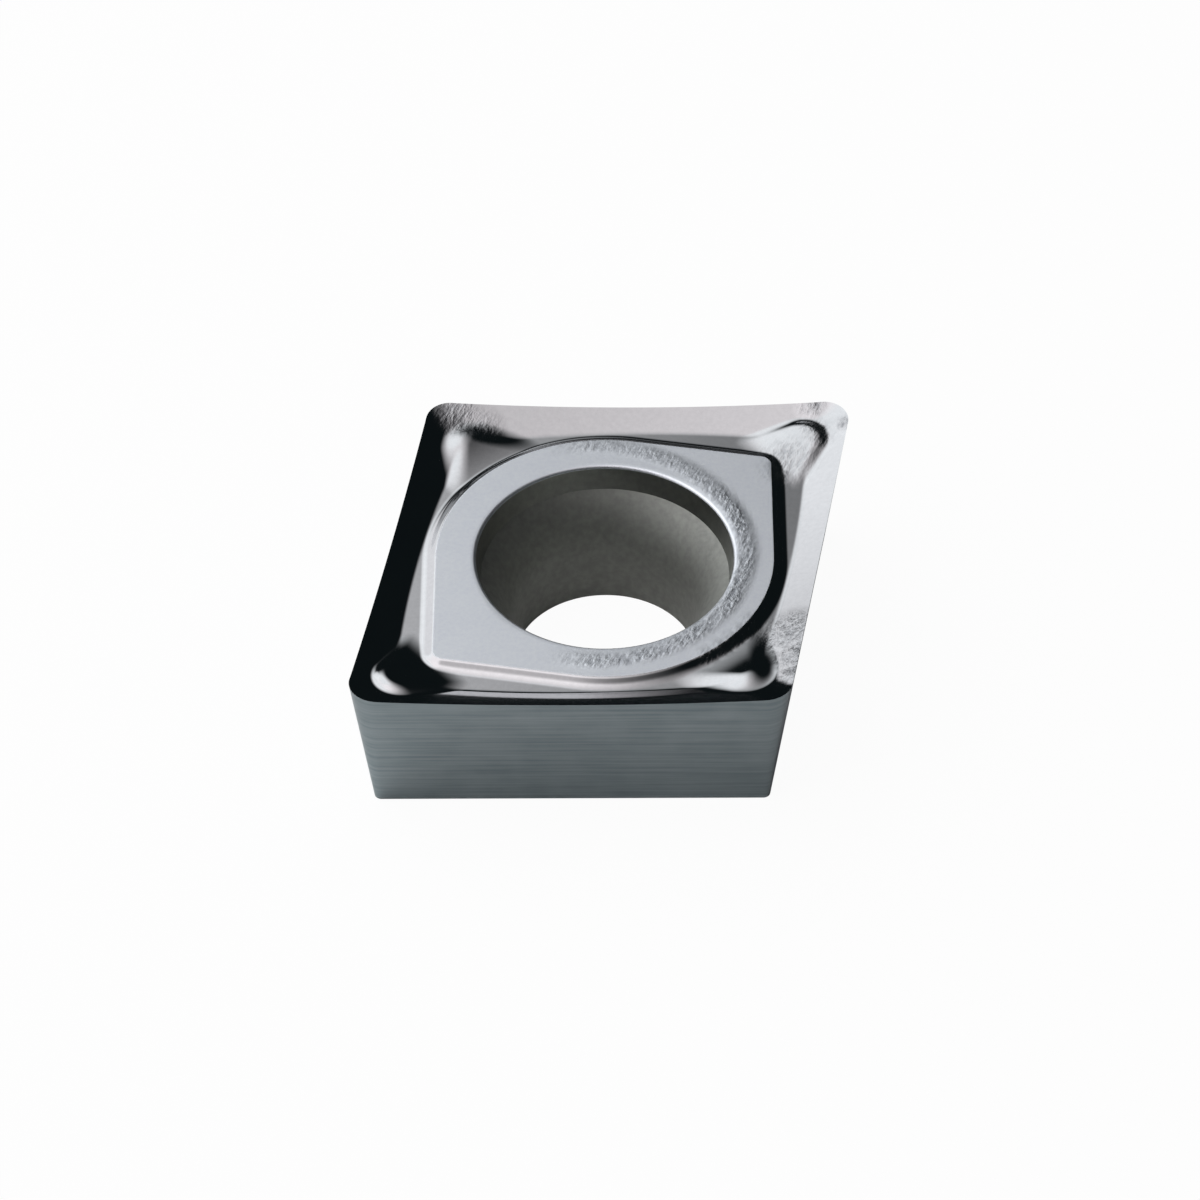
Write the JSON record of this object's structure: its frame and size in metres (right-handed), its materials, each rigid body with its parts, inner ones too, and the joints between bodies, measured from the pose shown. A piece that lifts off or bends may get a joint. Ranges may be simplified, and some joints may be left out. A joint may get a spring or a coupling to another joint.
{
  "type": "indexable cutting insert",
  "caption": "Polished 80 degree rhombic carbide cutting insert with clearance flanks, raised chip breaker corners and a countersunk screw hole.",
  "frame": {"origin": "on the screw hole axis, at the base face that rests on the tool", "axes": "+Z from the base to the cutting edges, along the screw hole; +X along the side nearest the viewer, with the sharp corners toward +X+Y and -X-Y"},
  "size_m": [0.0148, 0.0126, 0.0048],
  "materials": {
    "carbide": "polished"
  },
  "bodies": {
    "root": {"insert": "carbide"}
  },
  "joints": []
}
